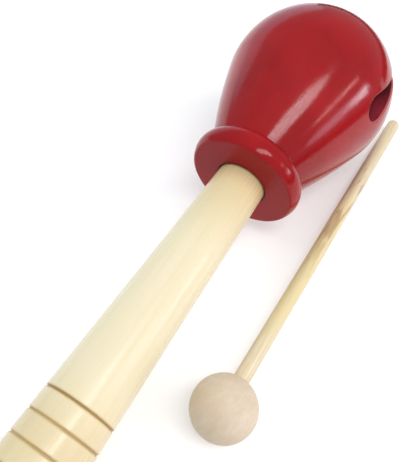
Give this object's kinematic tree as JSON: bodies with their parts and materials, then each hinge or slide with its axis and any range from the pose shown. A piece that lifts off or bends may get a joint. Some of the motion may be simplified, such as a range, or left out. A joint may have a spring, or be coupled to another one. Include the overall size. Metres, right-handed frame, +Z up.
{
  "type": "guiro block with beater",
  "caption": "Hollow lacquered wooden sounding head with a slit mouth on a tapered, grooved wooden handle, lying beside its ball-ended wooden beater.",
  "frame": {"origin": "bottom middle of the box around the whole object as it lies on a table, so z = 0 is the table top", "axes": "+Z up from the table; +X along the instrument in plan, from the handle's butt towards the head's crown; the beater lies on the -Y side"},
  "size_m": [0.2268, 0.0752, 0.064],
  "materials": {
    "head_lacquer": "glossy opaque red lacquer over turned wood",
    "handle_wood": "pale close-grained wood, clear satin finish, burnt rings",
    "ball_wood": "pale pinkish wood, sanded, matt",
    "stick_wood": "yellowish straight-grained dowel, sanded, matt"
  },
  "bodies": {
    "instrument": {"sound_head": "head_lacquer", "grooved_handle": "handle_wood"},
    "beater": {"beater_ball": "ball_wood", "beater_stick": "stick_wood"}
  },
  "joints": [
    {"name": "beater_lift", "type": "slide", "parent": "instrument", "child": "beater", "axis": [0, -0.7071, 0.7071], "range_m": [0, 0.12]}
  ]
}
